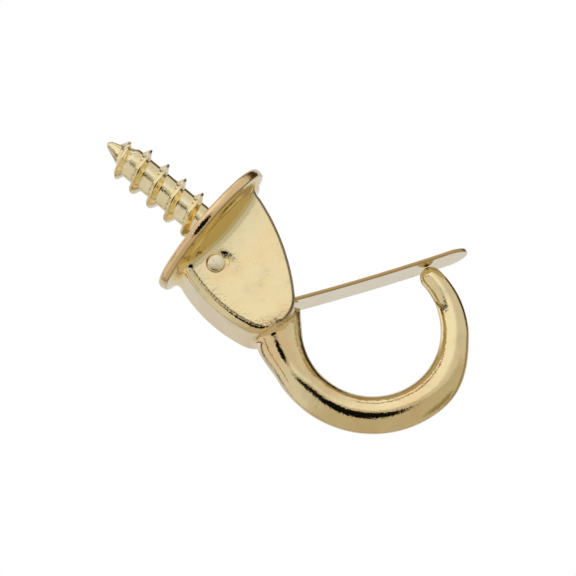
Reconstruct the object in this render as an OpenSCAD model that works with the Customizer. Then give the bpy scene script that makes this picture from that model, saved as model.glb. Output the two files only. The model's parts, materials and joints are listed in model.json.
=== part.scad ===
// Safety cup hook: a flanged casting that carries a round-bottomed hook, a wood screw
// cast into its top, and a flat spring latch that closes the hook's mouth.
//
// The origin is the centre of the flange's flat seating face. +Z runs up the screw,
// +X points from the screw's axis towards the hook's mouth, and the hook lies in the XZ plane.

/* [Flange] */
// Diameter of the round flange
flange_d = 16.0; // [15.6:0.1:20]
// Height of the flange's upright rim
rim_h = 1.05; // [0.8:0.05:1.6]
// Rounding of the rim's upper edge
rim_round = 0.4; // [0.2:0.05:0.7]
// Height of the rounded step under the rim
step_h = 0.6; // [0.3:0.05:1.2]
// Height of the shallow cone between the step and the body
cone_h = 1.25; // [0.6:0.05:2]
// Depth of the relief in the seat, round the foot of the thread
relief_depth = 0.5; // [0.2:0.05:0.8]

/* [Body] */
// Thickness of the slab-sided body
body_t = 7.2; // [6.6:0.1:9]
// Rounding of the body's left and lower edges
body_round = 0.85; // [0.4:0.05:1.1]
// Rounding of the body's right edge, beside the slot
mouth_round = 0.2; // [0.15:0.05:0.5]
// Radius of the arc round the bottom of the cheek
chin_r = 3.1; // [2.8:0.05:3.6]
// Depth of that arc's centre below the seat
chin_depth = 10.1; // [9.5:0.05:10.6]
// Distance of that arc's centre from the screw's axis
chin_offset = 2.88; // [2.5:0.02:3.2]
// Radius of the cheek's back edge
back_r = 15.2; // [13:0.1:18]
// Radius of the cheek's front edge
front_r = 23.5; // [18:0.5:30]

/* [Hook] */
// Overall height from the seat down to the lowest point of the hook
drop = 31.75; // [31.2:0.05:36]
// Inside radius of the hook
hook_inner_r = 7.28; // [6.5:0.01:7.5]
// Distance of the hook's centre from the screw's axis
hook_offset = 2.82; // [2:0.02:4]
// Thickness of the hook at its back and bottom
hook_t = 4.06; // [3.6:0.02:4.4]
// Extra thickness of the bar where its neck runs into the body
neck_flare = 1.0; // [0:0.1:1.4]
// Thickness of the hook's bar where it rises to the tip
bar_t = 3.02; // [2.6:0.02:3.6]
// Thickness of the bar just under its domed tip
tip_t = 2.42; // [2.3:0.02:3.2]
// Distance the tip leans out from the hook's inner circle
tip_lean = 0.12; // [0:0.02:0.4]
// Width of the hook's section across the body, as a share of its thickness
section_ratio = 0.96; // [0.85:0.01:1.1]

/* [Wood screw] */
// Length of the screw above the seat
screw_l = 13.7; // [11:0.1:18]
// Diameter over the thread's crests
thread_d = 4.95; // [4.2:0.05:5.2]
// Diameter of the core
core_d = 3.3; // [2.8:0.05:3.6]
// Rise of the thread in one turn
thread_pitch = 2.37; // [2:0.01:2.8]
// Width of the thread at its root
thread_root_w = 1.05; // [0.6:0.05:1.1]
// Width of the thread at its crest
thread_crest_w = 0.16; // [0.1:0.02:0.3]
// Length of the tapered point
point_l = 3.0; // [2:0.1:4]
// Radius of the blunt end of the point
blunt_r = 0.32; // [0.1:0.02:0.4]
// Length of plain shank cast into the body, below the seat
root_l = 2.4; // [2:0.1:2.4]
// Width across the flats of the square head that anchors the shank
anchor_af = 3.9; // [3.6:0.1:4.4]
// Thickness of that square head
anchor_t = 1.0; // [0.8:0.1:1.4]

/* [Latch] */
// Width of the latch strip
strip_w = 4.4; // [4:0.1:5.2]
// Thickness of the latch strip
strip_t = 0.4; // [0.3:0.05:0.6]
// Length of the run inside the body, from the pin's eye down to the bend
inner_run_l = 6.63; // [6.2:0.01:7]
// Radius of the slight bow that the hook's tip presses into the outer run
bow_r = 260; // [200:10:600]
// Slope of the run inside the body, from the pin down to the bend
root_slope = 74; // [70:0.5:78]
// Inside radius of the bend between the two runs
bend_r = 1.0; // [0.6:0.1:1.6]
// Length of the thumb tab past the point where the hook's tip bears
tab_l = 4.5; // [3:0.1:7]
// Radius of the tab's rounded end, as a share of half the strip's width
tab_round = 1.02; // [1.01:0.01:1.4]
// Angle through which the latch opens
open_angle = 20; // [10:1:24]

/* [Pin] */
// Diameter of the latch pin
pin_d = 2.0; // [1.6:0.05:2.3]
// Height of each staked pin end above the cheek
pin_stand = 0.16; // [0.05:0.01:0.3]
// Distance of the pin from the screw's axis
pin_offset = 3.43; // [3.2:0.02:3.8]
// Depth of the pin below the seat
pin_depth = 3.88; // [3.7:0.05:4.3]

/* [Clearances] */
// Running clearance between the pin and the latch's rolled eye
eye_clear = 0.04; // [0.02:0.01:0.1]
// Side clearance between the latch and each cheek
side_clear = 0.12; // [0.08:0.01:0.25]
// Clearance all round the latch's path through the slot
slot_clear = 0.25; // [0.2:0.05:0.4]
// Gap between the latch and the hook's tip when the latch is shut
tip_clear = 0.02; // [0.01:0.01:0.05]

/* [Hidden] */
$fn = 64;

cast_brass = "#D9C48A";
screw_brass = "#DCCB98";
strip_brass = "#D6C9A2";
pin_brass = "#D3C08C";

// Points in the XZ plane are [x, z], and angles run from +X towards +Z.
function on_circle(c, r, a) = [c[0] + r * cos(a), c[1] + r * sin(a)];
function smooth(t) = let (u = min(1, max(0, t))) u * u * (3 - 2 * u);
function mix(a, b, t) = a + (b - a) * t;
function heading(from, to) = atan2(to[1] - from[1], to[0] - from[0]);

// The point at distances ra from a and rb from b, on the left of the way from a to b.
function meet(a, ra, b, rb) = let (
        d = norm(b - a), u = (b - a) / d, along = (d * d + ra * ra - rb * rb) / (2 * d))
    a + along * u + sqrt(ra * ra - along * along) * [-u[1], u[0]];

// ---- Cheek outline: three arcs that run into each other ----
chin_c = [-chin_offset, -chin_depth];
back_join = 193.3;
front_join = -43.8;
round_fades_by = 0.55;
back_c = on_circle(chin_c, back_r - chin_r, back_join - 180);
front_c = on_circle(chin_c, front_r - chin_r, front_join + 180);
cheek_top = -1.0;
back_top = 180 - asin((cheek_top - back_c[1]) / back_r);
front_top = asin((cheek_top - front_c[1]) / front_r);
arc_steps = 18;

// Each outline entry is [centre, radius, angle, edge rounding].
cheek = concat(
    [for (i = [0 : arc_steps]) [back_c, back_r, mix(back_top, back_join, i / arc_steps), body_round]],
    [for (i = [1 : arc_steps]) let (t = i / arc_steps)
        [chin_c, chin_r, mix(back_join, front_join + 360, t),
         mix(body_round, mouth_round, smooth(t / round_fades_by))]],
    [for (i = [1 : arc_steps]) [front_c, front_r, mix(front_join, front_top, i / arc_steps), mouth_round]]
);

// ---- Hook: its inside is one circle, it thins on the way to the tip, and its neck runs
// straight up into the body ----
hook_c = [hook_offset, -drop + hook_inner_r + hook_t];
neck_share = 0.65;
neck_at = -43;
neck_root = on_circle(chin_c, chin_r * neck_share, neck_at);
neck_reach = norm(neck_root - hook_c);
hook_mid_r = hook_inner_r + hook_t / 2;
neck_l = sqrt(pow(neck_reach, 2) - pow(hook_mid_r, 2));
neck_angle = heading(hook_c, neck_root) + acos(hook_mid_r / neck_reach) - 360;
flare_from = -200;
taper_from = -95;
taper_to = -50;

// ---- Latch path ----
pin_c = [-pin_offset, -pin_depth];
eye_inner_r = pin_d / 2 + eye_clear;
eye_mid_r = eye_inner_r + strip_t / 2;
eye_outer_r = eye_inner_r + strip_t;
root_dir = [cos(root_slope), -sin(root_slope)];
root_up = [sin(root_slope), cos(root_slope)];
root_start = pin_c - eye_mid_r * root_up;

// The inner run ends in a bend, round bend_c.
bend_mid_r = bend_r + strip_t / 2;
bend_c = root_start + inner_run_l * root_dir + bend_mid_r * root_up;

// The outer run leaves the bend as an arc round bow_c that rests on the dome of the hook's tip.
dome_r = tip_t / 2;
dome_angle = -6.5;
dome_c = on_circle(hook_c, hook_inner_r + tip_lean + dome_r, dome_angle);
bow_c = meet(bend_c, bow_r - bend_mid_r, dome_c, bow_r + dome_r + tip_clear + strip_t / 2);
bearing_at = heading(bow_c, dome_c) + 360;
bend_out = heading(bow_c, bend_c) + 360;
bend_out_slope = 270 - bend_out;
tab_end = bearing_at + tab_l / bow_r * 180 / PI;

slot_w = strip_w + 2 * side_clear;

module in_xz(width) {
    translate([0, width / 2, 0]) rotate([90, 0, 0]) linear_extrude(width) children();
}

// ---- Flange ----
flange_r = flange_d / 2;
rim_draft = 0.2;
step_in = 1.4;
step_bulge = 0.16;
cone_r = 3.4;
relief_margin = 0.75;
flange_sides = 96;
rim_foot = [flange_r - rim_draft, -rim_h];
step_foot = [flange_r - step_in, -rim_h - step_h];
relief_r = thread_d / 2 + relief_margin;
rim_mid = -(rim_round + rim_h) / 2;

// An arc through two points, as a list of points, bulging by the given height.
function bulge(a, b, h, n) = let (
        d = b - a, l = norm(d), r = (l * l / 4 + h * h) / (2 * h),
        side = [d[1], -d[0]] / l, c = (a + b) / 2 - side * (r - h), half = asin(l / 2 / r),
        mid = atan2(side[1], side[0]))
    [for (i = [0 : n]) on_circle(c, r, mid + half * (1 - 2 * i / n))];

module flange() {
    rotate_extrude($fn = flange_sides) polygon(concat(
        [[0, -relief_depth], [relief_r - relief_depth, -relief_depth], [relief_r, 0]],
        [for (a = [90 : -15 : 0]) on_circle([flange_r - rim_round, -rim_round], rim_round, a)],
        [[flange_r, rim_mid]],
        bulge(rim_foot, step_foot, step_bulge, 6),
        [[cone_r, step_foot[1] - cone_h / 2], [0, step_foot[1] - cone_h]]
    ));
}

// ---- Body: a slab with rounded edges, as slices of the cheek outline ----
round_steps = 5;

// A slice at roll 0 is the full outline, and at roll 90 it is the flat cheek.
function slice(side, roll) = [for (e = cheek) let (p = on_circle(e[0], e[1] + e[3] * cos(roll), e[2]))
    [p[0], side * (body_t / 2 - e[3] * (1 - sin(roll))), p[1]]];

module skin(rings) {
    n = len(rings[0]);
    m = len(rings);
    sides = [for (j = [0 : m - 2], i = [0 : n - 1]) let (k = (i + 1) % n)
        each [[j * n + i, j * n + k, (j + 1) * n + k], [j * n + i, (j + 1) * n + k, (j + 1) * n + i]]];
    polyhedron([for (r = rings) each r],
        concat(sides, [[for (i = [n - 1 : -1 : 0]) i]], [[for (i = [0 : n - 1]) (m - 1) * n + i]]));
}

module slab() {
    skin(concat(
        [for (k = [round_steps : -1 : 0]) slice(-1, 90 * k / round_steps)],
        [for (k = [0 : round_steps]) slice(1, 90 * k / round_steps)]
    ));
}

// ---- Hook bar ----
bar_steps = 44;
dome_steps = 6;
dome_flat_r = 0.05;
ring_sides = 28;

// How far angle a has come along the straight rise to the dome, from 0 to 1.
function rise(a) = max(0, (a - taper_to) / (dome_angle - taper_to));
function bar_half(a) = let (
        slim = smooth((a - taper_from) / (taper_to - taper_from)),
        flare = smooth((flare_from - a) / (flare_from - neck_angle)))
    (mix(hook_t, mix(bar_t, tip_t, rise(a)), slim) + neck_flare * flare) / 2;

// A ring of the bar's section, round the centre line at angle a of the hook.
function bar_ring(a, half, lift = 0) = let (mid = hook_inner_r + tip_lean * smooth(rise(a)) + bar_half(a))
    [for (i = [0 : ring_sides - 1]) let (
            u = -360 * i / ring_sides,
            p = on_circle(hook_c, mid + half * cos(u), a) + lift * [-sin(a), cos(a)])
        [p[0], half * section_ratio * sin(u), p[1]]];

module bar() {
    skin(concat(
        [bar_ring(neck_angle, bar_half(neck_angle), -neck_l)],
        [for (i = [0 : bar_steps]) let (a = mix(neck_angle, dome_angle, i / bar_steps))
            bar_ring(a, bar_half(a))],
        [for (i = [1 : dome_steps - 1]) let (a = 90 * i / dome_steps)
            bar_ring(dome_angle, dome_r * cos(a), dome_r * sin(a))],
        [bar_ring(dome_angle, dome_flat_r, dome_r)]
    ));
}

// ---- Slot: the latch's path through the body, shut and open ----
function swing(p, a) = let (d = p - pin_c)
    pin_c + [d[0] * cos(a) - d[1] * sin(a), d[0] * sin(a) + d[1] * cos(a)];

reach = 16;
slot_edge = strip_t / 2 + slot_clear;

module slot_shape() {
    out_dir = [cos(bend_out_slope), -sin(bend_out_slope)];
    out_up = [sin(bend_out_slope), cos(bend_out_slope)];
    circle_r = eye_outer_r + slot_clear;
    low_a = root_start - slot_edge * root_up;
    turn = root_slope - bend_out_slope;
    low_corner = bend_c - (bend_mid_r + slot_edge) * (root_up + out_up) / (1 + cos(turn));
    low_b = low_corner + reach * out_dir;
    top_b = swing(bend_c, open_angle) + slot_edge * [1, 1];
    top_c = top_b + reach * [cos(bend_out_slope - open_angle), -sin(bend_out_slope - open_angle)];
    eye_side = pin_c + circle_r * [cos(90 - root_slope + open_angle), sin(90 - root_slope + open_angle)];
    translate(pin_c) circle(r = circle_r);
    polygon([pin_c, low_a, low_corner, low_b, top_c, top_b, eye_side]);
}

module pin_bore() {
    translate([pin_c[0], 0, pin_c[1]]) rotate([90, 0, 0])
        cylinder(d = pin_d, h = 2 * body_t, center = true);
}

// The screw's plain shank from its square head up to the given height.
module shank(top) {
    translate([0, 0, -root_l]) cylinder(d = core_d, h = root_l + top);
    translate([-anchor_af / 2, -anchor_af / 2, -root_l]) cube([anchor_af, anchor_af, anchor_t]);
}

module hook_body() color(cast_brass) difference() {
    union() {
        flange();
        slab();
        bar();
    }
    in_xz(slot_w) slot_shape();
    pin_bore();
    shank(relief_depth);
}

// ---- Wood screw ----
thread_start = -relief_depth + thread_root_w / 2;
thread_stop = 0.27;
thread_end = screw_l - point_l * thread_stop;
turns = (thread_end - thread_start) / thread_pitch;
turn_sides = 24;
thread_phase = -36;
thread_sink = 0.18;
thread_least = 0.02;
run_in = 0.4;
run_out = 1.3;
run_out_share = 0.75;
fade = 0.33;
point_from = screw_l - point_l;
point_steps = 8;
point_curve = 0.8;
point_overlap = 0.3;
tip_round = 0.1;

function core_at(z) = z < point_from ? core_d / 2
    : mix(core_d / 2, blunt_r, pow((z - point_from) / point_l, point_curve));

// Height of the thread over the core, t turns from its start.
function thread_height(t) = let (left = turns - t, thinned = mix(run_out_share, 1, min(1, left / run_out)))
    (thread_d - core_d) / 2 * min(smooth(t / run_in), smooth(left / fade) * thinned);

function thread_ring(k) = let (
        t = k / turn_sides, a = 360 * t + thread_phase, z = thread_start + t * thread_pitch,
        r0 = core_at(z) - thread_sink, r1 = core_at(z) + max(thread_height(t), thread_least),
        root = thread_root_w / 2, crest = thread_crest_w / 2)
    [for (q = [[r0, -root], [r1, -crest], [r1, crest], [r0, root]])
        [q[0] * cos(a), q[0] * sin(a), z + q[1]]];

module thread() {
    skin([for (k = [0 : floor(turns * turn_sides)]) thread_ring(k)]);
}

module point() {
    rotate_extrude($fn = 48) polygon(concat(
        [[0, point_from - point_overlap], [core_d / 2, point_from - point_overlap]],
        [for (i = [0 : point_steps]) let (z = mix(point_from, screw_l - tip_round, i / point_steps))
            [core_at(z), z]],
        [[blunt_r - tip_round / 2, screw_l], [0, screw_l]]
    ));
}

module wood_screw() color(screw_brass) {
    union() {
        shank(point_from);
        point();
        thread();
    }
}

// ---- Latch strip: a rolled eye, an inner run, a bend and a bowed outer run ----
// The bend reaches into each run by this many degrees.
bend_overlap = 1;
bow_sides = 1440;
margin = 1;

module flat_run(p, dir, up, l) {
    polygon([p - up * strip_t / 2, p + up * strip_t / 2, p + up * strip_t / 2 + dir * l,
             p - up * strip_t / 2 + dir * l]);
}

// Part of a ring as thick as the strip, round c, between two angles.
module strip_arc(c, r, from, to, sides) {
    far = r + 4 * strip_t;
    intersection() {
        translate(c) difference() {
            circle(r = r + strip_t / 2, $fn = sides);
            circle(r = r - strip_t / 2, $fn = sides);
        }
        polygon(concat([c], [for (t = [0 : 0.25 : 1]) on_circle(c, far, mix(from, to, t))]));
    }
}

// The thumb tab ends in an arc a little flatter than a half round, seen square to the tab.
module tab_trim() {
    end = on_circle(bow_c, bow_r, tab_end);
    end_r = tab_round * strip_w / 2;
    translate([end[0], 0, end[1]]) rotate([0, 270 - tab_end, 0])
        translate([-end_r, 0, -strip_w / 2]) difference() {
            translate([0, -strip_w, 0]) cube([2 * strip_w, 2 * strip_w, strip_w]);
            translate([0, 0, -margin]) cylinder(r = end_r, h = strip_w + 2 * margin);
        }
}

module latch_strip() color(strip_brass) difference() {
    union() {
        in_xz(strip_w) translate(pin_c) circle(r = eye_outer_r);
        in_xz(strip_w) flat_run(root_start, root_dir, root_up, inner_run_l);
        in_xz(strip_w)
            strip_arc(bend_c, bend_mid_r, 270 - root_slope - bend_overlap, bend_out + bend_overlap, $fn);
        in_xz(strip_w) strip_arc(bow_c, bow_r, bend_out, tab_end, bow_sides);
    }
    in_xz(strip_w + 2 * margin) translate(pin_c) circle(r = eye_inner_r);
    tab_trim();
}

// ---- Latch pin, staked over at both ends ----
module latch_pin() color(pin_brass) {
    pin_h = body_t + 2 * pin_stand;
    translate([pin_c[0], 0, pin_c[1]]) rotate([90, 0, 0]) rotate_extrude($fn = 48) polygon([
        [0, -pin_h / 2], [pin_d / 2 - pin_stand, -pin_h / 2], [pin_d / 2, -pin_h / 2 + pin_stand],
        [pin_d / 2, pin_h / 2 - pin_stand], [pin_d / 2 - pin_stand, pin_h / 2], [0, pin_h / 2]
    ]);
}

hook_body();
wood_screw();
latch_strip();
latch_pin();
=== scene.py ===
# Safety cup hook: detailed meshes, brass finishes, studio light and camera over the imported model.
# Pieces are modelled in millimetres in the model's own frame and scaled to metres once.
import json
import math

import bmesh
import bpy
import numpy as np
from mathutils import Matrix, Vector
from mathutils.bvhtree import BVHTree
from mathutils.kdtree import KDTree


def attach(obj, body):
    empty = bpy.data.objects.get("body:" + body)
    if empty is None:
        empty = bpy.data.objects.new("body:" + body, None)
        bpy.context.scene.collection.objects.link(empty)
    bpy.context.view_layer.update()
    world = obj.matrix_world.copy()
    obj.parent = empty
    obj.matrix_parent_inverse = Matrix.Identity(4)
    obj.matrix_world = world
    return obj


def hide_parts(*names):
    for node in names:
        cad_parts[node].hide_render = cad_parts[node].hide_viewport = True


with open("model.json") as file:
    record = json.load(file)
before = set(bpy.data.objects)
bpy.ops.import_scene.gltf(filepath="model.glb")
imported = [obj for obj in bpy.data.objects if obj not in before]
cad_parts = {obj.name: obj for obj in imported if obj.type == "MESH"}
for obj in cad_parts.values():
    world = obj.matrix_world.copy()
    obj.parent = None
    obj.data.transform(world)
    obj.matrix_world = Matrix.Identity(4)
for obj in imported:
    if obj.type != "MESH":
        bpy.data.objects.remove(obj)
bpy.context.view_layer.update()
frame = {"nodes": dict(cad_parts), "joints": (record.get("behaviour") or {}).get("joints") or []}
mm = 0.001
hingeAt = Vector(frame["joints"][0]["pos_m"]) / mm
axisY = Vector((0, 1, 0))
axisZ = Vector((0, 0, 1))
print("frame loaded:", sorted(frame["nodes"]))


def onCircle(centre, radius, degrees, y=0.0):
    angle = math.radians(degrees)
    return Vector((centre[0] + radius * math.cos(angle), y, centre[1] + radius * math.sin(angle)))


def smoothStep(t):
    u = min(1.0, max(0.0, t))
    return u * u * (3 - 2 * u)


def blendTo(a, b, t):
    return a + (b - a) * t


# Camera: faces the cheek, turned a little to the back and from below, rolled so the screw leans.
cameraView = {"azimuth": -15.0, "elevation": -8.0, "roll": 50.0, "acrossMm": 60.57,
              "aimRight": 8.549, "aimUp": -6.512, "distance": 400.0, "nearM": 0.01, "farM": 20}


def viewAxes(view):
    az, el, roll = (math.radians(view[k]) for k in ("azimuth", "elevation", "roll"))
    towards = Vector((math.sin(az) * math.cos(el), -math.cos(az) * math.cos(el), math.sin(el)))
    levelRight = Vector((math.cos(az), math.sin(az), 0))
    levelUp = towards.cross(levelRight)
    right = math.cos(roll) * levelRight - math.sin(roll) * levelUp
    up = math.sin(roll) * levelRight + math.cos(roll) * levelUp
    return right, up, towards


def addCamera(view):
    right, up, towards = viewAxes(view)
    place = view["aimRight"] * right + view["aimUp"] * up + view["distance"] * towards
    lens = bpy.data.cameras.new("camera")
    lens.type = "ORTHO"
    lens.ortho_scale = view["acrossMm"] * mm
    lens.clip_start, lens.clip_end = view["nearM"], view["farM"]
    camera = bpy.data.objects.new("camera", lens)
    turned = Matrix((right, up, towards)).transposed().to_4x4()
    camera.matrix_world = Matrix.Translation(place * mm) @ turned
    bpy.context.scene.collection.objects.link(camera)
    bpy.context.scene.camera = camera


addCamera(cameraView)
print("camera set")


# Adds points joined one after another.
def chain(bm, points):
    verts = [bm.verts.new(p) for p in points]
    return verts, [bm.edges.new(pair) for pair in zip(verts, verts[1:])]


# Extrudes one closed loop through the levels; place(index, level) gives every point of it.
def loopSkin(bm, count, levels, place):
    mark = bm.verts.layers.int.get("turn") or bm.verts.layers.int.new("turn")
    loop = bmesh.ops.create_circle(bm, cap_ends=True, segments=count, radius=1)["verts"]
    for i, v in enumerate(loop):
        v[mark] = i
        v.co = place(i, levels[0])
    edges = list({e for v in loop for e in v.link_edges})
    for level in levels[1:]:
        grown = bmesh.ops.extrude_edge_only(bm, edges=edges)["geom"]
        edges = [g for g in grown if isinstance(g, bmesh.types.BMEdge)]
        for v in (g for g in grown if isinstance(g, bmesh.types.BMVert)):
            v.co = place(v[mark], level)
    bmesh.ops.contextual_create(bm, geom=edges)


# Turns a profile of (radius, height) points all the way round an axis through a point.
def spinProfile(bm, profile, centre, axis, steps):
    side = Vector((1, 0, 0))
    points = [centre + side * r + axis * h for r, h in profile]
    verts, edges = chain(bm, points)
    bmesh.ops.spin(bm, geom=verts + edges, cent=centre, axis=axis, dvec=(0, 0, 0),
                   angle=math.tau, steps=steps, use_merge=True)


# Merges points that meet and turns the faces outwards.
def closeUp(bm, distance=0.0005):
    bmesh.ops.remove_doubles(bm, verts=bm.verts, dist=distance)
    bmesh.ops.recalc_face_normals(bm, faces=bm.faces)


# Draws each point halfway to its neighbours' middle, once a pass.
def soften(bm, verts, passes):
    for _ in range(passes):
        bmesh.ops.smooth_vert(bm, verts=verts, factor=0.5,
                              use_axis_x=True, use_axis_y=True, use_axis_z=True)


# A helper object that only cuts or joins; it is deleted once used.
def toolObject(name, bm):
    closeUp(bm)
    mesh = bpy.data.meshes.new(name)
    bm.to_mesh(mesh)
    bm.free()
    tool = bpy.data.objects.new(name, mesh)
    bpy.context.scene.collection.objects.link(tool)
    return tool


# Joins or cuts the base with each tool in turn, and remeshes the result if a voxel is given.
def combine(base, steps, voxel=0.0):
    for kind, tool in steps:
        boolean = base.modifiers.new(kind.lower(), "BOOLEAN")
        boolean.operation = kind
        boolean.solver = "EXACT"
        boolean.object = tool
    if voxel:
        remesh = base.modifiers.new("remesh", "REMESH")
        remesh.mode = "VOXEL"
        remesh.voxel_size = voxel
    depsgraph = bpy.context.evaluated_depsgraph_get()
    mesh = bpy.data.meshes.new_from_object(base.evaluated_get(depsgraph))
    bm = bmesh.new()
    bm.from_mesh(mesh)
    bpy.data.meshes.remove(mesh)
    for tool in [base] + [t for _, t in steps]:
        bpy.data.objects.remove(tool)
    return bm


def addPiece(name, bm, body, node, material, sharpAngle=35.0):
    bmesh.ops.scale(bm, vec=(mm, mm, mm), verts=bm.verts)
    mesh = bpy.data.meshes.new(name)
    bm.to_mesh(mesh)
    bm.free()
    mesh.shade_smooth()
    mesh.set_sharp_from_angle(angle=math.radians(sharpAngle))
    piece = bpy.data.objects.new(name, mesh)
    bpy.context.scene.collection.objects.link(piece)
    mesh.materials.append(material)
    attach(piece, body)
    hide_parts(node)
    mesh.calc_loop_triangles()
    print(name, "triangles:", len(mesh.loop_triangles))
    return piece


# An sRGB hex colour as the linear values that nodes take.
def linear(hexColour):
    parts = [int(hexColour[i:i + 2], 16) / 255 for i in (1, 3, 5)]
    return [c / 12.92 if c <= 0.04045 else ((c + 0.055) / 1.055) ** 2.4 for c in parts] + [1.0]


# Adds a node, sets its sockets by name or number, and links (socket, from node, output).
def addNode(tree, kind, settings=None, values=None, links=()):
    node = tree.nodes.new(kind)
    for key, value in (settings or {}).items():
        setattr(node, key, value)
    for key, value in (values or {}).items():
        node.inputs[key].default_value = value
    for socket, source, output in links:
        tree.links.new(source.outputs[output], node.inputs[socket])
    return node


# Polished brass plate on a zinc casting, under clear lacquer. The lacquer gives the hard gloss,
# its orange peel breaks the mirrored edges into dots, thin plate shows as warmer and greener
# clouds, and convex edges are polished through to a peach tone. Painted shade: dark brown in the
# hollows, under the rim and along the cheek's edges, and a deeper yellow under the flange.
castFinish = {"name": "lacqueredBrassPlateOnCasting", "plate": "#F3E1AE", "roughness": 0.09,
              "cloudMm": 4.0, "cloudShare": 0.65, "warm": "#F0CC92",
              "dullMm": 2.6, "dullShare": 0.7, "dull": "#DDD2A6",
              "waveMm": 2.4, "waveHigh": 0.03, "peelMm": 0.32, "peelHigh": 0.07, "peelBy": "coarse",
              # the dark brown and the deeper yellow marks are painted shade
              "marks": (("paintedShadeYellow", 0.0, 0.5, 0.8, "#FADF84"), ("corner", 0.0, 1.0, 0.75, "#DDD2A6"),
                        ("worn", 0.1, 0.9, 0.8, "#F4CF9A"), ("paintedShade", 0.1, 0.8, 0.95, "#453417"))}
# Brass plate on a rolled steel thread: smooth flanks with only fine peel, paler than the casting.
screwFinish = {"name": "lacqueredBrassPlateOnSteelScrew", "plate": "#F8EBBF", "roughness": 0.1,
               "cloudMm": 2.5, "cloudShare": 0.5, "warm": "#F0D496",
               "dullMm": 1.6, "dullShare": 0.5, "dull": "#E4D9AE",
               "waveMm": 2.0, "waveHigh": 0.02, "peelMm": 0.35, "peelHigh": 0.014}
# Rolled brass strip: pale and flat like a mirror, with sheared edges that are rougher and warmer.
stripFinish = {"name": "lacqueredBrassStrip", "plate": "#F7F0D5", "roughness": 0.1,
               "cloudMm": 3.0, "cloudShare": 0.4, "warm": "#F4E2B0",
               "dullMm": 1.6, "dullShare": 0.5, "dull": "#E0DCC5",
               "waveMm": 3.0, "waveHigh": 0.01, "peelMm": 0.3, "peelHigh": 0.006,
               "roughBy": ("sheared", 0.3), "marks": (("sheared", 0.2, 0.8, 1.0, "#C7A568"),)}
# Soft brass rod with its ends hammered over: greyer and less glossy than the plated pieces.
pinFinish = {"name": "hammeredBrassRod", "plate": "#E9DFBE", "roughness": 0.14,
             "cloudMm": 1.2, "cloudShare": 0.4, "warm": "#E4CB96",
             "dullMm": 0.8, "dullShare": 0.6, "dull": "#CFC9AC",
             "waveMm": 0.9, "waveHigh": 0.02, "peelMm": 0.3, "peelHigh": 0.012}
# What the four share: how fine each noise is, where its marks start and are full, how much
# rougher the dull marks are, and the least and the added peel where an attribute scales it.
brass = {"detail": {"cloud": 4.0, "dull": 5.0, "wave": 1.0, "peel": 2.0}, "noiseRough": 0.55,
         "cloudFrom": 0.45, "cloudFull": 0.7, "dullFrom": 0.5, "dullFull": 0.72,
         "roughFrom": 0.45, "roughFull": 0.75, "roughTimes": 1.8, "peelLeast": 0.1, "peelMore": 0.8}


# A colour Mix node's inputs 0, 6 and 7 are its factor, A and B, and its output 2 is the colour.
def brassMaterial(look):
    material = bpy.data.materials.new(look["name"])
    material.use_nodes = True
    tree = material.node_tree
    shader = tree.nodes["Principled BSDF"]
    shader.inputs["Metallic"].default_value = 1.0
    shader.inputs["Coat Weight"].default_value = 1.0
    where = addNode(tree, "ShaderNodeTexCoord")
    noise = {}
    for part, detail in brass["detail"].items():
        values = {"Scale": 1 / (look[part + "Mm"] * mm), "Detail": detail,
                  "Roughness": brass["noiseRough"]}
        noise[part] = addNode(tree, "ShaderNodeTexNoise", {}, values, [("Vector", where, "Object")])
    # each tint goes over those before it: source, output, its start and full values, share, colour
    tints = [(noise["cloud"], 0, brass["cloudFrom"], brass["cloudFull"],
              look["cloudShare"], look["warm"]),
             (noise["dull"], 0, brass["dullFrom"], brass["dullFull"],
              look["dullShare"], look["dull"])]
    # the casting's dark brown and deeper yellow marks are painted shade
    for mark, low, high, share, colour in look.get("marks", ()):
        source = addNode(tree, "ShaderNodeAttribute", {"attribute_name": mark})
        tints.append((source, "Fac", low, high, share, colour))
    shade = None
    for source, output, low, high, share, colour in tints:
        mask = addNode(tree, "ShaderNodeMapRange", {"interpolation_type": "SMOOTHSTEP"},
                       {"From Min": low, "From Max": high, "To Max": share},
                       [("Value", source, output)])
        links = [(0, mask, 0)] + ([(6, shade, 2)] if shade else [])
        shade = addNode(tree, "ShaderNodeMix", {"data_type": "RGBA"},
                        {6: linear(look["plate"]), 7: linear(colour)}, links)
    tree.links.new(shade.outputs[2], shader.inputs["Base Color"])

    least, most = look["roughness"], look["roughness"] * brass["roughTimes"]
    rough = addNode(tree, "ShaderNodeMapRange", {"interpolation_type": "SMOOTHSTEP"},
                    {"From Min": brass["roughFrom"], "From Max": brass["roughFull"],
                     "To Min": least, "To Max": most}, [("Value", noise["dull"], 0)])
    if "roughBy" in look:
        mark, more = look["roughBy"]
        cut = addNode(tree, "ShaderNodeAttribute", {"attribute_name": mark})
        rough = addNode(tree, "ShaderNodeMath", {"operation": "MULTIPLY_ADD"}, {1: more},
                        [(0, cut, "Fac"), (2, rough, 0)])
    tree.links.new(rough.outputs[0], shader.inputs["Roughness"])

    wave = addNode(tree, "ShaderNodeBump", {},
                   {"Strength": 1.0, "Distance": look["waveHigh"] * mm},
                   [("Height", noise["wave"], 0)])
    peel = addNode(tree, "ShaderNodeBump", {},
                   {"Strength": 1.0, "Distance": look["peelHigh"] * mm},
                   [("Height", noise["peel"], 0), ("Normal", wave, 0)])
    if "peelBy" in look:
        coarse = addNode(tree, "ShaderNodeAttribute", {"attribute_name": look["peelBy"]})
        share = addNode(tree, "ShaderNodeMath", {"operation": "MULTIPLY_ADD"},
                        {1: brass["peelMore"], 2: brass["peelLeast"]}, [(0, coarse, "Fac")])
        tree.links.new(share.outputs[0], peel.inputs["Strength"])
    for socket in ("Normal", "Coat Normal"):
        tree.links.new(peel.outputs["Normal"], shader.inputs[socket])
    return material


print("finishes ready")

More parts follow.
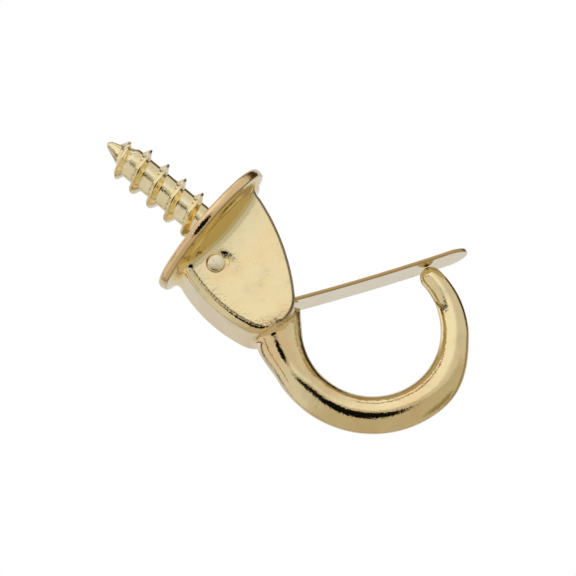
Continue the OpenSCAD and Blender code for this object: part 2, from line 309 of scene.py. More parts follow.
# Casting: flange, slab body and hook in one piece.
casting = {
    "flangeR": 7.995, "rimH": 1.1, "rimRound": 0.35, "rimCrown": 0.07, "rimDraft": 0.17,
    "stepIn": 1.4, "stepH": 0.6, "stepHollow": 0.16, "coneR": 3.4, "coneH": 1.25,
    "reliefR": 3.225, "reliefDepth": 0.5, "flangeSteps": 180,
    "bodyT": 7.2, "bodyRound": 0.85, "mouthRound": 0.2, "roundFadesBy": 0.55, "cheekTop": -1.0,
    "chinAt": (-2.88, -10.1), "chinR": 3.1, "backR": 15.2, "frontR": 23.5,
    "backJoin": 193.3, "frontJoin": -43.8, "outlineSteps": 48, "roundSteps": 8,
    "hookAt": (2.82, -20.41), "innerR": 7.28, "hookT": 4.06, "barT": 3.02, "tipT": 2.42,
    "tipLean": 0.12, "neckFlare": 1.0, "flareFrom": -200.0, "neckShare": 0.65, "neckAt": -43.0,
    "taperFrom": -95.0, "taperTo": -50.0, "domeAngle": -6.5,
    "sectionRatio": 0.96, "neckRatio": 1.14, "ratioFrom": -150.0, "ratioTo": -198.0,
    "crestOut": 0.5, "crestFrom": -180.0, "crestOver": 18, "ridged": 0.035,
    "barAround": 72, "barSteps": 150, "neckSteps": 6,
    "shankR": 1.65, "shankDepth": 2.4, "slotW": 4.64, "slotClear": 0.25, "slotReach": 16,
    "openAngle": 20.0, "boreR": 1.01, "boreChamfer": 0.03, "holeSteps": 64, "cutPast": 1,
    "dentAt": (-2.4, -4.4), "dentR": 0.95, "dentDepth": 0.25, "dentLong": 1.5, "dentBand": 0.05,
    "filletReach": 0.75, "filletPasses": 50, "softPasses": 3, "voxel": 0.136,
}


# Points from a to b on a flat bow; a height below nought bows it into the metal.
def bowed(a, b, height, count=8):
    a, b = Vector(a), Vector(b)
    out = Vector((a.y - b.y, b.x - a.x)).normalized()
    return [tuple(a.lerp(b, i / count) + out * height * 4 * i / count * (1 - i / count))
            for i in range(1, count + 1)]


def flangeTool(c):
    bm = bmesh.new()
    rounding = [(c["flangeR"] - c["rimRound"] * (1 - math.cos(math.radians(a))),
                 -c["rimRound"] * (1 - math.sin(math.radians(a)))) for a in range(90, 9, -10)]
    stepTop = (c["flangeR"] - c["rimDraft"], -c["rimH"])
    stepFoot = (c["flangeR"] - c["stepIn"], -c["rimH"] - c["stepH"])
    profile = [(0, -c["reliefDepth"]), (c["reliefR"] - c["reliefDepth"], -c["reliefDepth"]),
               (c["reliefR"], 0)] + rounding
    profile += bowed(rounding[-1], stepTop, c["rimCrown"])
    profile += bowed(stepTop, stepFoot, -c["stepHollow"])
    profile += [(c["coneR"], stepFoot[1] - c["coneH"] / 2), (0, stepFoot[1] - c["coneH"])]
    spinProfile(bm, profile, Vector((0, 0, 0)), axisZ, c["flangeSteps"])
    return toolObject("flange", bm)


# The cheek's edge from the back's top, round the chin, to the mouth's top: each point has its
# arc's centre, radius and angle, and how far the edge is rounded there.
def cheekOutline(c):
    chin = onCircle(c["chinAt"], 0, 0)
    chinC = (chin.x, chin.z)
    back = onCircle(chinC, c["backR"] - c["chinR"], c["backJoin"] - 180)
    front = onCircle(chinC, c["frontR"] - c["chinR"], c["frontJoin"] + 180)
    backTop = 180 - math.degrees(math.asin((c["cheekTop"] - back.z) / c["backR"]))
    frontTop = math.degrees(math.asin((c["cheekTop"] - front.z) / c["frontR"]))
    steps = c["outlineSteps"]
    outline = []
    for i in range(steps + 1):
        outline.append(((back.x, back.z), c["backR"],
                        blendTo(backTop, c["backJoin"], i / steps), c["bodyRound"]))
    for i in range(1, steps + 1):
        t = i / steps
        rounded = blendTo(c["bodyRound"], c["mouthRound"], smoothStep(t / c["roundFadesBy"]))
        outline.append((chinC, c["chinR"],
                        blendTo(c["backJoin"], c["frontJoin"] + 360, t), rounded))
    for i in range(1, steps + 1):
        outline.append(((front.x, front.z), c["frontR"],
                        blendTo(c["frontJoin"], frontTop, i / steps), c["mouthRound"]))
    return outline


def bodyTool(c):
    outline = cheekOutline(c)
    rolls = [90 * k / c["roundSteps"] for k in range(c["roundSteps"] + 1)]
    levels = [(-1, roll) for roll in reversed(rolls)] + [(1, roll) for roll in rolls]

    def place(i, level):
        side, roll = level
        centre, radius, degrees, edge = outline[i]
        turn = math.radians(roll)
        return onCircle(centre, radius + edge * math.cos(turn), degrees,
                        side * (c["bodyT"] / 2 - edge * (1 - math.sin(turn))))

    bm = bmesh.new()
    loopSkin(bm, len(outline), levels, place)
    return toolObject("body", bm)


# The bent bar: a straight neck from inside the chin, the bowl, and the tapered tip with its dome.
def barTool(c):
    hookAt = c["hookAt"]
    middleR = c["innerR"] + c["hookT"] / 2
    root = onCircle(c["chinAt"], c["chinR"] * c["neckShare"], c["neckAt"])
    away = Vector((root.x - hookAt[0], root.z - hookAt[1]))
    neckL = math.sqrt(away.length_squared - middleR ** 2)
    neckAngle = math.degrees(math.atan2(away[1], away[0]) + math.acos(middleR / away.length)) - 360

    def rise(a):
        return max(0.0, (a - c["taperTo"]) / (c["domeAngle"] - c["taperTo"]))

    def half(a):
        slim = smoothStep((a - c["taperFrom"]) / (c["taperTo"] - c["taperFrom"]))
        flare = smoothStep((c["flareFrom"] - a) / (c["flareFrom"] - neckAngle))
        plain = blendTo(c["hookT"], blendTo(c["barT"], c["tipT"], rise(a)), slim)
        return (plain + c["neckFlare"] * flare) / 2

    def place(i, level):
        a, size, lift = level
        turn = math.tau * i / c["barAround"]
        middle = c["innerR"] + c["tipLean"] * smoothStep(rise(a)) + half(a)
        widening = smoothStep((c["ratioFrom"] - a) / (c["ratioFrom"] - c["ratioTo"]))
        ratio = blendTo(c["sectionRatio"], c["neckRatio"], widening)
        crestOn = smoothStep((c["crestFrom"] - a) / c["crestOver"])
        crest = c["crestOut"] * crestOn * math.sin(turn) ** 2
        # flanks a little flatter than round
        ridge = (math.sin(turn) - c["ridged"] * math.sin(3 * turn)) / (1 + c["ridged"])
        p = onCircle(hookAt, middle + crest + size * math.cos(turn), a, size * ratio * ridge)
        return p + lift * Vector((-math.sin(math.radians(a)), 0, math.cos(math.radians(a))))

    steps = c["neckSteps"]
    levels = [(neckAngle, half(neckAngle), -neckL * (1 - k / steps)) for k in range(steps)]
    steps = c["barSteps"]
    for a in (blendTo(neckAngle, c["domeAngle"], k / steps) for k in range(steps + 1)):
        levels.append((a, half(a), 0))
    domeR = c["tipT"] / 2
    for up in (math.radians(t) for t in range(9, 86, 8)):
        levels.append((c["domeAngle"], domeR * math.cos(up), domeR * math.sin(up)))
    bm = bmesh.new()
    loopSkin(bm, c["barAround"], levels, place)
    return toolObject("bar", bm)


# The latch strip's path: rolled eye, inner run, bend and bowed outer run.
strip = {"w": 4.4, "t": 0.4, "eyeClear": 0.04, "pinR": 1.0, "rootSlope": 74.0, "innerRun": 6.63,
         "bendR": 1.0, "bowR": 260.0, "tabL": 4.5, "tabRound": 1.02, "tipClear": 0.02,
         "edgeRound": 0.07, "eyeTurn": 318.0, "flatInset": 0.25, "shearedShare": 0.6,
         "eyeSteps": 40, "runSteps": 12, "bowSteps": 30, "tabSteps": 24}


# The outer run is one flat bow, tangent to the bend and just clear of the tip's dome.
def stripPath(st, c):
    pin = (hingeAt.x, hingeAt.z)
    eyeR = st["pinR"] + st["eyeClear"] + st["t"] / 2
    bendR = st["bendR"] + st["t"] / 2
    slope = math.radians(st["rootSlope"])
    along = Vector((math.cos(slope), 0, -math.sin(slope)))
    side = Vector((math.sin(slope), 0, math.cos(slope)))
    start = onCircle(pin, 0, 0) - eyeR * side
    bend = start + st["innerRun"] * along + bendR * side
    domeR = c["tipT"] / 2
    dome = onCircle(c["hookAt"], c["innerR"] + c["tipLean"] + domeR, c["domeAngle"])
    ra, rb = st["bowR"] - bendR, st["bowR"] + domeR + st["tipClear"] + st["t"] / 2
    gap = dome - bend
    forward = gap.normalized()
    share = (gap.length_squared + ra * ra - rb * rb) / (2 * gap.length)
    aside = math.sqrt(ra * ra - share * share) * Vector((-forward.z, 0, forward.x))
    bow = bend + share * forward + aside
    bearing = math.degrees(math.atan2(dome.z - bow.z, dome.x - bow.x))
    bendOut = math.degrees(math.atan2(bend.z - bow.z, bend.x - bow.x))
    tabEnd = bearing + math.degrees(st["tabL"] / st["bowR"])
    return {"pin": pin, "eyeR": eyeR, "bendR": bendR, "along": along, "side": side,
            "start": start, "bend": bend, "bow": bow, "bendOut": bendOut, "tabEnd": tabEnd}


path = stripPath(strip, casting)


# A flat outline drawn at one side of the body and pushed through to the other.
def prismTool(name, points, width):
    bm = bmesh.new()
    verts, edges = chain(bm, [Vector((p.x, -width / 2, p.z)) for p in points])
    edges.append(bm.edges.new((verts[-1], verts[0])))
    face = bmesh.ops.contextual_create(bm, geom=edges)["faces"]
    grown = bmesh.ops.extrude_face_region(bm, geom=face)["geom"]
    pushed = [g for g in grown if isinstance(g, bmesh.types.BMVert)]
    bmesh.ops.translate(bm, vec=(0, width, 0), verts=pushed)
    return toolObject(name, bm)


# The latch's way through the body, shut and open: a wedge and a round for the eye.
def slotTools(c, st, way):
    pin = onCircle(way["pin"], 0, 0)
    edge = st["t"] / 2 + c["slotClear"]
    out = math.radians(270 - (way["bendOut"] + 360))
    outDir = Vector((math.cos(out), 0, -math.sin(out)))
    outUp = Vector((math.sin(out), 0, math.cos(out)))
    turn = math.radians(st["rootSlope"]) - out
    corner = way["bend"] - (way["bendR"] + edge) * (way["side"] + outUp) / (1 + math.cos(turn))
    opened = Matrix.Rotation(-math.radians(c["openAngle"]), 4, "Y")
    top = pin + opened @ (way["bend"] - pin) + edge * Vector((1, 0, 1))
    openDir = out - math.radians(c["openAngle"])
    eyeR = st["pinR"] + st["eyeClear"] + st["t"] + c["slotClear"]
    eyeSide = onCircle(way["pin"], eyeR, 90 - st["rootSlope"] + c["openAngle"])
    shutEnd = corner + c["slotReach"] * outDir
    openEnd = top + c["slotReach"] * Vector((math.cos(openDir), 0, -math.sin(openDir)))
    outline = [pin, way["start"] - edge * way["side"], corner, shutEnd, openEnd, top, eyeSide]
    roundOutline = [onCircle(way["pin"], eyeR, a) for a in range(0, 360, 5)]
    return prismTool("slot", outline, c["slotW"]), prismTool("eyeRoom", roundOutline, c["slotW"])


# A tool's faces as a tree that finds the nearest point.
def nearness(tool):
    mesh = tool.data
    return BVHTree.FromPolygons([v.co for v in mesh.vertices], [p.vertices for p in mesh.polygons])


def makeCasting(c, st, way):
    body, bar, flange = bodyTool(c), barTool(c), flangeTool(c)
    nearBody, nearBar, nearFlange = nearness(body), nearness(bar), nearness(flange)
    wedge, eyeRoom = slotTools(c, st, way)
    bm = combine(body, [("UNION", bar), ("UNION", flange),
                        ("DIFFERENCE", wedge), ("DIFFERENCE", eyeRoom)], c["voxel"])

    # casting fillets: only the valleys between two of the forms are smoothed many times
    def isNear(v, tree):
        return tree.find_nearest(v.co, c["filletReach"])[0] is not None

    valleys = [v for v in bm.verts
               if isNear(v, nearBody) and (isNear(v, nearBar) or isNear(v, nearFlange))]
    soften(bm, valleys, c["filletPasses"])
    soften(bm, bm.verts, c["softPasses"])
    # the staking tool left a dent beside each pin end
    dentX, dentZ = c["dentAt"]
    for v in bm.verts:
        if abs(v.co.y) > c["bodyT"] / 2 - c["dentBand"]:
            away = math.hypot(v.co.x - dentX, (v.co.z - dentZ) / c["dentLong"]) / c["dentR"]
            v.co.y -= math.copysign(c["dentDepth"] * smoothStep(1 - away), v.co.y)
    bmesh.ops.recalc_face_normals(bm, faces=bm.faces)
    blank = toolObject("blank", bm)

    bore = bmesh.new()
    half = c["bodyT"] / 2
    r, ch = c["boreR"], c["boreChamfer"]
    wide, past = r + ch + c["cutPast"], half + c["cutPast"]
    profile = [(0, -past), (wide, -past), (r, ch - half), (r, half - ch), (wide, past), (0, past)]
    spinProfile(bore, profile, Vector((hingeAt.x, 0, hingeAt.z)), axisY, c["holeSteps"])
    shank = bmesh.new()
    profile = [(0, -c["shankDepth"]), (c["shankR"], -c["shankDepth"]),
               (c["shankR"], c["cutPast"]), (0, c["cutPast"])]
    spinProfile(shank, profile, Vector((0, 0, 0)), axisZ, c["holeSteps"])
    return combine(blank, [("DIFFERENCE", toolObject("bore", bore)),
                           ("DIFFERENCE", toolObject("shank", shank))])


# Where the casting's plate is marked and where shade is painted on it. Reaches and heights are in
# millimetres; places along the cheek's edge run from 0 at the back's top, round the chin, to 1 at
# the mouth's top.
wearAndPaintedShade = {
    "curvePasses": 5, "most": 1.6, "cheekBand": 0.25, "cheekBelow": 0.1, "farOff": 9.0,
    "wornTimes": 3.6, "wornLess": 0.9, "rimReach": 0.5, "rimAbove": -1.2, "rimWorn": 0.7,
    "hollowTimes": 2.0, "hollowLess": 0.45, "hollowShare": 0.5,
    "chinFrom": 0.4, "chinOver": 0.15, "chinReach": 0.24,
    "backTo": 0.42, "backOver": 0.05, "topFrom": 0.02, "topOver": 0.02, "backReach": 0.17,
    "footIn": 0.1, "footBelow": 0.1, "footReach": 0.32,
    "mouthFrom": 0.6, "mouthOver": 0.1, "lineReach": 1.3, "lineLeast": 0.4, "lineMore": 1.3,
    "lineWorst": 0.45, "lineWorstOver": 0.13,
    "dentShift": 0.2, "dentLong": 1.5, "dentReach": 1.3, "dentCoarse": 1.6,
    "coarse": 0.25, "faceReach": 0.1, "faceLess": 0.2, "tipFrom": 6, "tipOver": 3, "tipLess": 0.2,
    "wallFrom": -13.5, "wallOver": 1.5, "wallTop": -1.8, "wallLess": 0.2,
    "shadeYellowAt": -1.9, "shadeYellowReach": 1.2, "shadeYellowIn": 0.25, "shadeYellowTimes": 3, "shadeYellowLess": 0.2,
    "cornerReach": 4.5,
}


# Gives every point a value for how worn and coarse its plate is, how much duller it is towards the
# flange, and how much painted shade in dark brown and painted deeper yellow of shade it takes.
def markCasting(mesh, c, w):
    count = len(mesh.vertices)
    place, normal = np.empty(count * 3), np.empty(count * 3)
    ends = np.empty(len(mesh.edges) * 2, dtype=int)
    mesh.vertices.foreach_get("co", place)
    mesh.vertices.foreach_get("normal", normal)
    mesh.edges.foreach_get("vertices", ends)
    place, normal, ends = place.reshape(-1, 3) / mm, normal.reshape(-1, 3), ends.reshape(-1, 2)
    degree = np.maximum(1, np.bincount(ends.ravel(), minlength=count))

    def nearby(values):
        total = (np.bincount(ends[:, 0], values[ends[:, 1]], count)
                 + np.bincount(ends[:, 1], values[ends[:, 0]], count))
        return total / degree

    def fade(distance, reach):
        return np.clip(1 - distance / reach, 0, 1)

    def ramp(values, start, over):
        return np.clip((values - start) / over, 0, 1)

    curve = sum((place[:, k] - nearby(place[:, k])) * normal[:, k] for k in range(3))
    curve /= c["voxel"] ** 2
    for _ in range(w["curvePasses"]):
        curve = (curve + nearby(curve)) / 2
    x, y, z = place.T
    radius = np.hypot(x, y)

    # how far each point of the cheeks is from their edge, and where along it
    line = [onCircle(centre, r, degrees) for centre, r, degrees, _ in cheekOutline(c)]
    tree = KDTree(len(line))
    for i, p in enumerate(line):
        tree.insert(p, i)
    tree.balance()
    onCheek = np.abs(np.abs(y) - c["bodyT"] / 2) < w["cheekBand"]
    onCheek &= z < -c["rimH"] - c["stepH"] - w["cheekBelow"]
    toLine, alongLine = np.full(count, w["farOff"]), np.zeros(count)
    for i in np.nonzero(onCheek)[0]:
        _, nearest, toLine[i] = tree.find(Vector((x[i], 0, z[i])))
        alongLine[i] = nearest / len(line)

    # wear on the edges that stand out and round the rim
    onRim = fade(np.abs(radius - c["flangeR"]), w["rimReach"]) * (z > w["rimAbove"])
    worn = np.clip(curve * w["wornTimes"] - w["wornLess"], 0, 1) + onRim * w["rimWorn"]

    # tarnish in the hollows (a curve below nought), along the cheek's edges and under the rim
    chinOn = ramp(alongLine, w["chinFrom"], w["chinOver"])
    backOn = (ramp(-alongLine, -w["backTo"], w["backOver"])
              * ramp(alongLine, w["topFrom"], w["topOver"]))
    rimFoot = np.hypot(radius - (c["flangeR"] - w["footIn"]), z + c["rimH"] + w["footBelow"])
    # painted shade in dark brown: in the hollows (a curve below nought), along the cheek's edges
    # and under the rim
    hollows = np.clip(-curve * w["hollowTimes"] - w["hollowLess"], 0, 1) * w["hollowShare"]
    lines = fade(toLine, w["chinReach"]) * chinOn + fade(toLine, w["backReach"]) * backOn
    paintedShade = np.maximum(hollows, np.maximum(lines, fade(rimFoot, w["footReach"])))

    # coarse peel by the cheek's edge and the dents, and the least on the flange's top and the walls
    mouthOn = ramp(alongLine, w["mouthFrom"], w["mouthOver"])
    worst = fade(np.abs(alongLine - w["lineWorst"]), w["lineWorstOver"])
    byLine = (fade(toLine, w["lineReach"]) * (w["lineLeast"] + w["lineMore"] * worst)
              * (1 - mouthOn))
    toDent = np.hypot(x - c["dentAt"][0] - w["dentShift"], (z - c["dentAt"][1]) / w["dentLong"])
    byDent = onCheek * fade(toDent, w["dentReach"]) * w["dentCoarse"]
    walls = ramp(z, w["wallFrom"], w["wallOver"]) * (z < w["wallTop"]) * ~onCheek
    offCheek = (~onCheek * w["coarse"] - fade(np.abs(z), w["faceReach"]) * w["faceLess"]
                - w["tipLess"] * ramp(x, w["tipFrom"], w["tipOver"]) - w["wallLess"] * walls)
    coarse = np.maximum(byLine, np.maximum(byDent, offCheek))

    # painted shade as a deeper yellow under the flange and in every hollow, duller cheeks towards
    # the flange
    # the deeper yellow is painted shade, strongest under the flange
    underFlange = fade(np.abs(z - w["shadeYellowAt"]), w["shadeYellowReach"]) * ~onCheek
    underFlange = underFlange * (radius < c["flangeR"] - w["shadeYellowIn"])
    paintedShadeYellow = np.maximum(underFlange, np.clip(-curve * w["shadeYellowTimes"] - w["shadeYellowLess"], 0, 1))
    corner = fade(-z - c["rimH"] - c["stepH"], w["cornerReach"]) * onCheek

    # the dark brown and the deeper yellow marks are painted shade
    marks = {"worn": worn, "paintedShade": paintedShade, "coarse": coarse, "paintedShadeYellow": paintedShadeYellow, "corner": corner}
    for name, values in marks.items():
        attribute = mesh.attributes.new(name, "FLOAT", "POINT")
        attribute.data.foreach_set("value", np.clip(values, 0, w["most"]))


castPiece = addPiece("hookCasting", makeCasting(casting, strip, path), "hook", "hook_body",
                     brassMaterial(castFinish))
markCasting(castPiece.data, casting, wearAndPaintedShade)
print("casting made")

# Wood screw: one pitch of the thread's outline swept as a helix, then trimmed.
screw = {"l": 13.7, "coreR": 1.65, "threadR": 2.475, "pitch": 2.37, "rootW": 1.05,
         "rootRound": 0.09, "crestW": 0.16, "crestRound": 0.05, "crestDrop": 0.35,
         "pointL": 3.0, "bluntR": 0.32, "pointCurve": 0.8, "noseL": 0.3,
         "shankDepth": 2.4, "shankTrim": 0.01, "noseTrim": 0.004, "reliefDepth": 0.5,
         "phase": -36.0, "runIn": 0.4, "runOut": 1.3, "runOutShare": 0.75, "fade": 0.33,
         "threadStop": 0.27, "turnSteps": 64, "coreSteps": 6, "spare": 1.0, "mergeMm": 0.004,
         "flankAt": (-0.62, -0.57, -0.52, -0.46, -0.38, -0.28, -0.18, -0.13, -0.08, -0.04)}


def makeScrew(w):
    pointFrom = w["l"] - w["pointL"]
    threadFrom = w["rootW"] / 2 - w["reliefDepth"]
    turns = (w["l"] - w["pointL"] * w["threadStop"] - threadFrom) / w["pitch"]
    depth = w["threadR"] - w["coreR"]

    def lift(offset):
        z = abs(offset)
        if z <= w["crestW"] / 2 + w["crestRound"]:
            return depth * (1 - w["crestDrop"] * z * z / w["crestW"])
        flank = (w["rootW"] / 2 - z) / (w["rootW"] - w["crestW"]) * 2
        foot = w["rootRound"]
        low = smoothStep((w["rootW"] / 2 + foot - z) / (2 * foot)) * foot / 2
        return depth * min(1.0, max(flank, low))

    def coreAt(z):
        r = w["coreR"]
        if z > pointFrom:
            along = min(1.0, (z - pointFrom) / w["pointL"])
            r = blendTo(r, w["bluntR"], along ** w["pointCurve"])
        nose = max(0.0, (z - w["l"] + w["noseL"]) / w["noseL"])
        return r * math.sqrt(max(0.0, 1 - nose * nose))

    def strength(t):
        left = turns - t
        thinned = blendTo(w["runOutShare"], 1, min(1, left / w["runOut"]))
        return min(smoothStep(t / w["runIn"]), smoothStep(left / w["fade"]) * thinned)

    bm = bmesh.new()
    offsetOf = bm.verts.layers.float.new("offset")
    half = w["pitch"] / 2
    offsets = [half * k / w["coreSteps"] for k in range(-w["coreSteps"], -2)] + list(w["flankAt"])
    offsets = offsets + [0.0] + [-o for o in reversed(offsets)]
    startZ = -w["shankDepth"] - w["spare"] - half
    turned = math.radians(w["phase"]) + math.tau * (startZ - threadFrom) / w["pitch"]
    start = Matrix.Rotation(turned, 3, "Z") @ Vector((2, 0, 0))  # every radius is set further down
    verts, edges = chain(bm, [start + Vector((0, 0, startZ + o)) for o in offsets])
    for v, offset in zip(verts, offsets):
        v[offsetOf] = offset
    count = math.ceil((w["l"] - startZ + w["pitch"]) / w["pitch"] * w["turnSteps"])
    bmesh.ops.spin(bm, geom=verts + edges, cent=(0, 0, 0), axis=axisZ,
                   angle=math.tau * count / w["turnSteps"], steps=count,
                   dvec=(0, 0, w["pitch"] / w["turnSteps"]), use_merge=False)
    for v in bm.verts:
        centreZ = v.co.z - v[offsetOf]
        r = coreAt(min(v.co.z, w["l"]))
        r += lift(v[offsetOf]) * strength((centreZ - threadFrom) / w["pitch"])
        flat = Vector((v.co.x, v.co.y, 0)).normalized() * max(r, 0.001)
        v.co.x, v.co.y = flat.x, flat.y
    bmesh.ops.remove_doubles(bm, verts=bm.verts, dist=w["mergeMm"])
    for z, up in ((-w["shankDepth"] + w["shankTrim"], -1), (w["l"] - w["noseTrim"], 1)):
        cut = bmesh.ops.bisect_plane(bm, geom=bm.verts[:] + bm.edges[:] + bm.faces[:],
                                     plane_co=(0, 0, z), plane_no=(0, 0, up), clear_outer=True)
        rim = [g for g in cut["geom_cut"] if isinstance(g, bmesh.types.BMEdge)]
        bmesh.ops.contextual_create(bm, geom=rim)
    closeUp(bm)
    return bm


addPiece("woodScrew", makeScrew(screw), "hook", "wood_screw",
         brassMaterial(screwFinish))


# Latch strip: a rounded section carried along its path.
def makeStrip(st, way):
    half, thick, edge = st["w"] / 2, st["t"] / 2, st["edgeRound"]
    flat = st["flatInset"]
    section = [(thick, -1, flat), (thick, 1, flat)]  # offset from the middle, side, how far in
    for cx, cy, first in ((1, 1, 0), (-1, 1, 90), (-1, -1, 180), (1, -1, 270)):
        for a in (0, 30, 60, 90):
            angle = math.radians(first + a)
            section.append((cx * (thick - edge) + edge * math.cos(angle), cy,
                            edge * (1 - math.sin(angle) * cy)))
        if first == 90:
            section += [(-thick, 1, flat), (-thick, -1, flat)]

    roundR = st["tabRound"] * half
    length = math.radians(way["tabEnd"] - way["bendOut"]) * st["bowR"]
    toRound = math.sqrt(roundR ** 2 - half ** 2)
    straight = length - roundR + toRound
    opens = math.degrees(math.acos(toRound / roundR))
    eyeSteps, runSteps, bowSteps = st["eyeSteps"], st["runSteps"], st["bowSteps"]
    levels = [("eye", k / eyeSteps, half) for k in range(eyeSteps + 1)]
    levels += [("run", k / runSteps, half) for k in range(1, runSteps)]
    levels += [("bend", k / runSteps, half) for k in range(runSteps + 1)]
    levels += [("bow", straight * k / bowSteps / length, half) for k in range(1, bowSteps + 1)]
    for k in range(1, st["tabSteps"]):
        a = math.radians(opens * (1 - k / (st["tabSteps"] + 0.5)))
        reach = (length - roundR + roundR * math.cos(a)) / length
        levels.append(("bow", reach, roundR * math.sin(a)))
    root = math.degrees(math.atan2(way["start"].z - way["pin"][1], way["start"].x - way["pin"][0]))

    def place(i, level):
        part, t, width = level
        u, side, inset = section[i]
        if part == "eye":
            p = onCircle(way["pin"], way["eyeR"] - u, root - st["eyeTurn"] * (1 - t))
        elif part == "run":
            p = way["start"] + way["along"] * st["innerRun"] * t + way["side"] * u
        elif part == "bend":
            bendIn = math.degrees(math.atan2(-way["side"].z, -way["side"].x))
            p = onCircle((way["bend"].x, way["bend"].z), way["bendR"] - u,
                         blendTo(bendIn, way["bendOut"], t))
        else:
            p = onCircle((way["bow"].x, way["bow"].z), st["bowR"] - u,
                         blendTo(way["bendOut"], way["tabEnd"], t))
        return Vector((p.x, side * max(0.001, width - inset), p.z))

    bm = bmesh.new()
    loopSkin(bm, len(section), levels, place)
    sheared, mark = bm.verts.layers.float.new("sheared"), bm.verts.layers.int["turn"]
    for v in bm.verts:
        v[sheared] = float(section[v[mark]][2] < edge * st["shearedShare"])
    closeUp(bm)
    return bm


addPiece("latchStrip", makeStrip(strip, path), "latch", "latch_strip",
         brassMaterial(stripFinish))

# Latch pin: a plain rod with both ends staked over.
pin = {"r": 1.0, "stand": 0.3, "edge": 0.24, "crown": 0.05, "crownAt": (0.7, 0.5, 0.3, 0.1),
       "turnSteps": 64}


def makePin(q, bodyT):
    half = bodyT / 2 + q["stand"]
    rounding = [(q["r"] - q["edge"] * (1 - math.cos(math.radians(a))),
                 half - q["edge"] * (1 - math.sin(math.radians(a)))) for a in range(0, 91, 15)]
    rounding += [(r, half + q["crown"] * (1 - (r / rounding[-1][0]) ** 2)) for r in q["crownAt"]]
    top = (0, half + q["crown"])
    profile = [(0, -top[1])] + [(r, -h) for r, h in reversed(rounding)] + rounding + [top]
    bm = bmesh.new()
    spinProfile(bm, profile, Vector((hingeAt.x, 0, hingeAt.z)), axisY, q["turnSteps"])
    closeUp(bm)
    return bm


addPiece("latchPin", makePin(pin, casting["bodyT"]), "hook", "latch_pin",
         brassMaterial(pinFinish))
print("screw, strip and pin made")

# What the metal mirrors, as cards laid one over another on the bench colour. Each has its colour
# and its masks: a direction in the camera's view (right, up, towards it) and the degrees from it
# where the card starts and is full. The last card is the white background, straight behind.
studio = {
    "floorZ": -150.0, "floorMm": 8000.0, "floor": "#F6F4EF", "floorRough": 0.9, "floorLift": 0.2,
    "bench": "#C1B8A6",
    "cards": (
        ("#DBD7D4", (((-0.87, 0.5, 0), 89, 72.5),)),  # the bench's lit half
        ("#D6D2CC", (((-0.27, 1, 0), 91, 84), ((1, 0, 0), 96, 72.5))),  # wall on the right
        ("#D6D2CC", (((-0.093, 1, -0.45), 87, 83),)),  # wall above
        ("#FAF8F7", (((-0.093, 1, -0.45), 87, 83), ((1, 0, 0), 56, 90))),  # overhead light card
        ("#453E32", (((-0.093, 1, -0.45), 90, 88), ((-0.093, 1, -0.45), 83, 85),
                     ((1, 0, 0), 104, 120))),  # its frame
        ("#D6D2CC", (((0, 0, 1), 130, 150),)),  # room behind the object
        ("#9C8E72", (((0, 0, 1), 108, 118), ((0, 0, 1), 148, 138),
                     ((0.6, 1, 0), 107, 84))),  # dim far wall
        ("#A07F55", (((0, 0, 1), 80, 84), ((0, 0, 1), 92, 88),
                     ((-1.3, 1, 0), 72, 61))),  # light card's edge
        ("#8A6E48", (((0, 0, 1), 123, 126), ((0, 0, 1), 131, 128),
                     ((0.4, 1, 0), 90, 106))),  # backing sheet's edge
        ("#9A8A68", (((0.818, -0.573, -0.052), 20, 10),)),  # dim flag beside the object
        ("#3E321E", (((0.633, 0.366, -0.682), 19, 9),)),  # dark flag above it
        ("#3A301E", (((0.438, 0.593, -0.676), 14, 8),)),  # dark flag behind the tip
        ("#BDB8AC", (((0, 0, 1), 27, 17),)),  # lens hood
        ("#100E0C", (((0.017, -0.105, 1), 21.8, 20.3),)),  # lens
        ("#FFFFFF", (((0, 0, 1), 171, 179),))),  # background
}


def addFloor(s):
    bm = bmesh.new()
    bmesh.ops.create_grid(bm, x_segments=1, y_segments=1, size=s["floorMm"] / 2 * mm)
    bmesh.ops.translate(bm, vec=(0, 0, s["floorZ"] * mm), verts=bm.verts)
    mesh = bpy.data.meshes.new("floor")
    bm.to_mesh(mesh)
    bm.free()
    floor = bpy.data.objects.new("floor", mesh)
    bpy.context.scene.collection.objects.link(floor)
    material = bpy.data.materials.new("paperFloor")
    material.use_nodes = True
    tree = material.node_tree
    shader = tree.nodes["Principled BSDF"]
    shader.inputs["Base Color"].default_value = linear(s["floor"])
    shader.inputs["Roughness"].default_value = s["floorRough"]
    rays = addNode(tree, "ShaderNodeLightPath")
    lift = addNode(tree, "ShaderNodeMath", {"operation": "ADD"}, {},
                   [(0, rays, "Is Camera Ray"), (1, rays, "Is Glossy Ray")])
    lift = addNode(tree, "ShaderNodeMath", {"operation": "ADD"}, {},
                   [(0, lift, 0), (1, rays, "Is Transmission Ray")])
    lift = addNode(tree, "ShaderNodeMath", {"operation": "MULTIPLY"}, {1: s["floorLift"]},
                   [(0, lift, 0)])
    shader.inputs["Emission Color"].default_value = (1, 1, 1, 1)
    tree.links.new(lift.outputs[0], shader.inputs["Emission Strength"])
    mesh.materials.append(material)
    floor.visible_glossy = False  # the metal mirrors the bench in the world instead


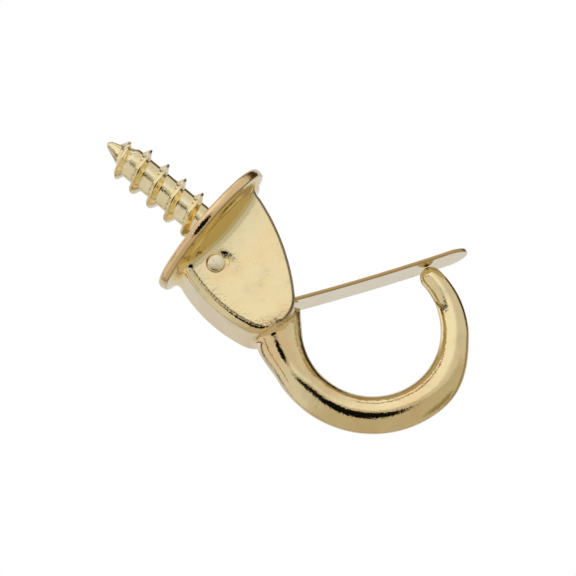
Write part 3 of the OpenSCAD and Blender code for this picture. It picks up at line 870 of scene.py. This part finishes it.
def addWorld(s, view):
    axes = Matrix(viewAxes(view)).transposed()
    world = bpy.data.worlds.new("studio")
    bpy.context.scene.world = world
    world.use_nodes = True
    tree = world.node_tree
    tree.nodes.clear()
    coord = addNode(tree, "ShaderNodeTexCoord")
    room = None
    for colour, masks in s["cards"]:
        share = None
        for way, start, full in masks:
            along = addNode(tree, "ShaderNodeVectorMath", {"operation": "DOT_PRODUCT"},
                            {1: (axes @ Vector(way)).normalized()}, [(0, coord, "Generated")])
            mask = addNode(tree, "ShaderNodeMapRange", {"interpolation_type": "SMOOTHSTEP"},
                           {"From Min": math.cos(math.radians(start)),
                            "From Max": math.cos(math.radians(full))}, [("Value", along, "Value")])
            if share:
                mask = addNode(tree, "ShaderNodeMath", {"operation": "MULTIPLY"}, {},
                               [(0, share, 0), (1, mask, 0)])
            share = mask
        links = [(0, share, 0)] + ([(6, room, 2)] if room else [])
        room = addNode(tree, "ShaderNodeMix", {"data_type": "RGBA"},
                       {6: linear(s["bench"]), 7: linear(colour)}, links)

    # the camera sees white everywhere; metal and glass see it where it lies, behind the object
    rays = addNode(tree, "ShaderNodeLightPath")
    bent = addNode(tree, "ShaderNodeMath", {"operation": "ADD"}, {},
                   [(0, rays, "Is Glossy Ray"), (1, rays, "Is Transmission Ray")])
    bent = addNode(tree, "ShaderNodeMath", {"operation": "MULTIPLY"}, {},
                   [(0, bent, 0), (1, share, 0)])
    seen = addNode(tree, "ShaderNodeMath", {"operation": "MAXIMUM"}, {},
                   [(0, rays, "Is Camera Ray"), (1, bent, 0)])
    light = addNode(tree, "ShaderNodeBackground", {}, {"Strength": 1.0}, [("Color", room, 2)])
    white = addNode(tree, "ShaderNodeBackground", {}, {"Color": (1, 1, 1, 1), "Strength": 1.0})
    mixed = addNode(tree, "ShaderNodeMixShader", {}, {},
                    [(0, seen, 0), (1, light, 0), (2, white, 0)])
    addNode(tree, "ShaderNodeOutputWorld", {}, {}, [("Surface", mixed, 0)])


addFloor(studio)
addWorld(studio, cameraView)
bpy.context.scene.view_settings.view_transform = "Standard"
print("studio made")
